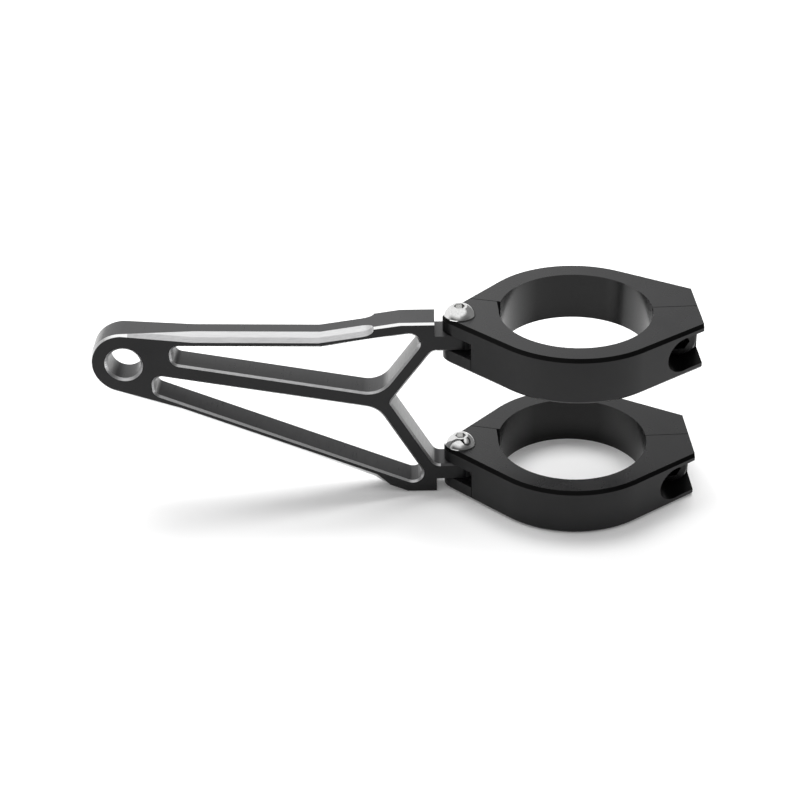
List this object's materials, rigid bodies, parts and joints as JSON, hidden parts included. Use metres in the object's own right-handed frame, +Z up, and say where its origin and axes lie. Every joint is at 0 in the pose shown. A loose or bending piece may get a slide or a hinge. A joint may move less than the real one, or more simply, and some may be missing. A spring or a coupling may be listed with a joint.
{
  "type": "headlight mounting bracket",
  "caption": "Skeleton arm with a lamp hole at one end and split fork-tube clamps, one above the other, that swivel on the other end.",
  "frame": {"origin": "centre of the lower clamp's bore, at the clamp's bottom face", "axes": "+Z up the fork tube, -X along the arm to the lamp hole, +Y to the back"},
  "size_m": [0.1817, 0.0604, 0.0627],
  "materials": {
    "black_anodised_arm": "black anodised, with bright cut bevels",
    "black_anodised_clamps": "satin black anodised",
    "stainless_screws": "polished stainless",
    "black_clamp_bolts": "black oxide"
  },
  "bodies": {
    "arm": {"bracket_arm": "black_anodised_arm"},
    "upper_clamp": {"upper_clamp_front": "black_anodised_clamps", "upper_clamp_back": "black_anodised_clamps", "upper_pivot_screw": "stainless_screws", "upper_clamp_bolt": "black_clamp_bolts"},
    "lower_clamp": {"lower_clamp_front": "black_anodised_clamps", "lower_clamp_back": "black_anodised_clamps", "lower_pivot_screw": "stainless_screws", "lower_clamp_bolt": "black_clamp_bolts"}
  },
  "joints": [
    {"name": "upper_clamp_swivel", "type": "hinge", "parent": "arm", "child": "upper_clamp", "pos_m": [-0.03467, -0.00151, 0.0526], "axis": [0, 0, 1], "range_deg": [-60, 60]},
    {"name": "lower_clamp_swivel", "type": "hinge", "parent": "arm", "child": "lower_clamp", "pos_m": [-0.03467, -0.00151, 0.0074], "axis": [0, 0, 1], "range_deg": [-60, 60]}
  ]
}
